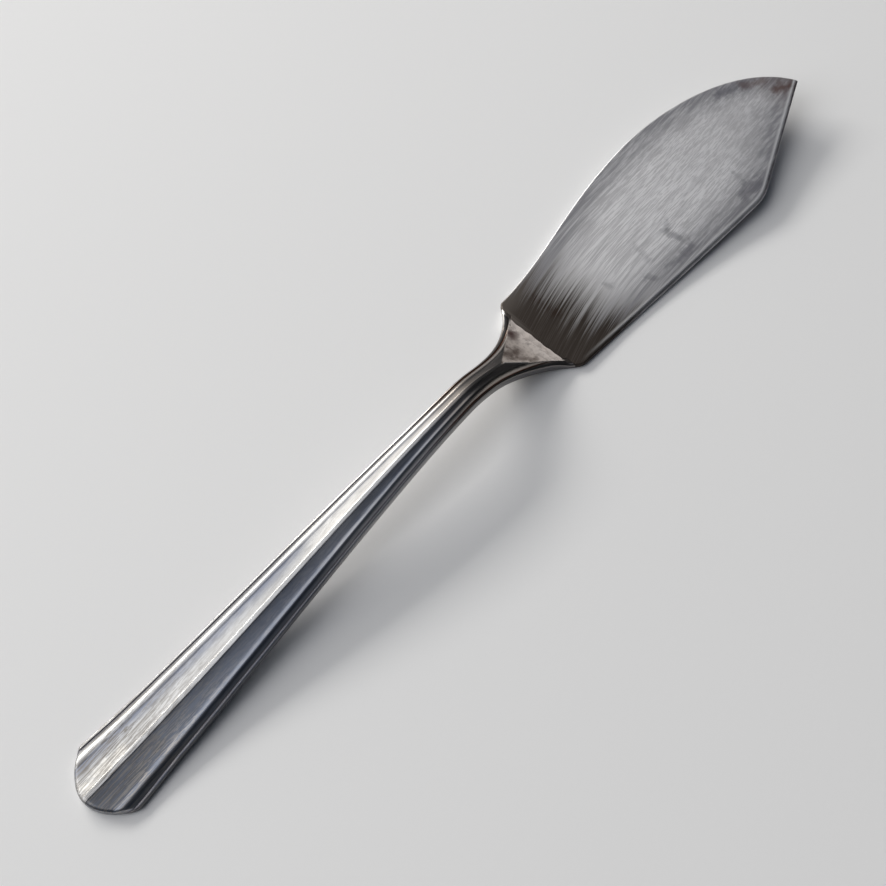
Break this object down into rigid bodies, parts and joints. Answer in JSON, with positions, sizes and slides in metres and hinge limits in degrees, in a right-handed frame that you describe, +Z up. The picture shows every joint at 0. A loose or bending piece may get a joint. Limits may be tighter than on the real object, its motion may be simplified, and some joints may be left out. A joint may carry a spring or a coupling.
{
  "type": "butter knife",
  "caption": "Lightly arched butter knife with a tapered, fluted handle, a slim neck, and a wide clipped-point spreading blade lapped and brazed under the shoulder.",
  "frame": {"origin": "on the table under the middle of the knife's box", "axes": "+X from the handle's end towards the blade's tip, +Y towards the blade's spine, +Z up from the table"},
  "size_m": [0.1798, 0.0266, 0.0104],
  "materials": {
    "silver_plate": "bright silver plate, softly polished, with fine lengthwise scratches and dark tarnish in the grooves",
    "worn_plate": "worn plate, brushed lengthwise, stained dark brown across the heel",
    "braze_metal": "heat-stained, mottled brown-grey silver braze"
  },
  "bodies": {
    "root": {"handle": "silver_plate", "blade": "worn_plate", "braze_seam": "braze_metal"}
  },
  "joints": []
}
